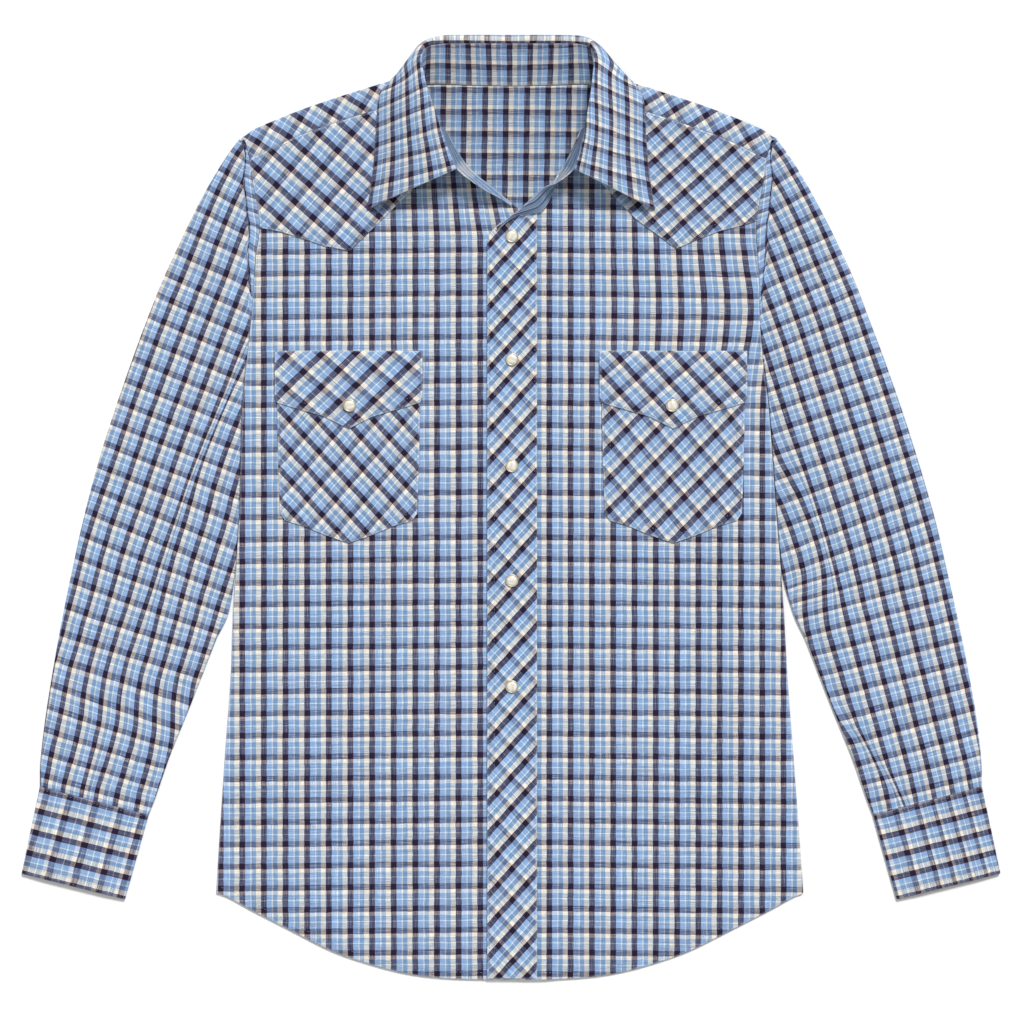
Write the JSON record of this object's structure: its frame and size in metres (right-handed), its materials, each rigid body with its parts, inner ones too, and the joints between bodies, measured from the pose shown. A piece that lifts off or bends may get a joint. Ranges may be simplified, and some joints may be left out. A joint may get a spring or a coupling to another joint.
{
  "type": "western snap shirt",
  "caption": "Long-sleeved western shirt in woven plaid, laid flat face up, with pointed yokes, pointed flap pockets, a bias placket, a turned-down collar and pearl snaps.",
  "frame": {"origin": "middle of the shirt's box, on the surface it lies on", "axes": "+Z out of the shirt's front, +Y towards the collar, +X towards the wearer's left sleeve"},
  "size_m": [0.851, 0.8204, 0.0321],
  "materials": {
    "plaid_cloth": "crisp woven cotton, straight grain, matte with a faint sheen",
    "bias_plaid_cloth": "the same woven cotton cut on the bias",
    "pearl_snap": "cream pearl cap in a thin metal rim"
  },
  "bodies": {
    "root": {"back": "plaid_cloth", "yoke_inner": "plaid_cloth", "front_right": "plaid_cloth", "front_left": "plaid_cloth", "sleeve_right": "plaid_cloth", "sleeve_left": "plaid_cloth", "cuff_right": "plaid_cloth", "cuff_left": "plaid_cloth", "collar_stand": "plaid_cloth", "collar_leaf": "plaid_cloth", "back_yoke": "bias_plaid_cloth", "front_yoke_right": "bias_plaid_cloth", "front_yoke_left": "bias_plaid_cloth", "placket": "bias_plaid_cloth", "pocket_right": "bias_plaid_cloth", "pocket_left": "bias_plaid_cloth", "flap_right": "bias_plaid_cloth", "flap_left": "bias_plaid_cloth", "snap_1": "pearl_snap", "snap_2": "pearl_snap", "snap_3": "pearl_snap", "snap_4": "pearl_snap", "snap_5": "pearl_snap", "snap_flap_right": "pearl_snap", "snap_flap_left": "pearl_snap"}
  },
  "joints": []
}
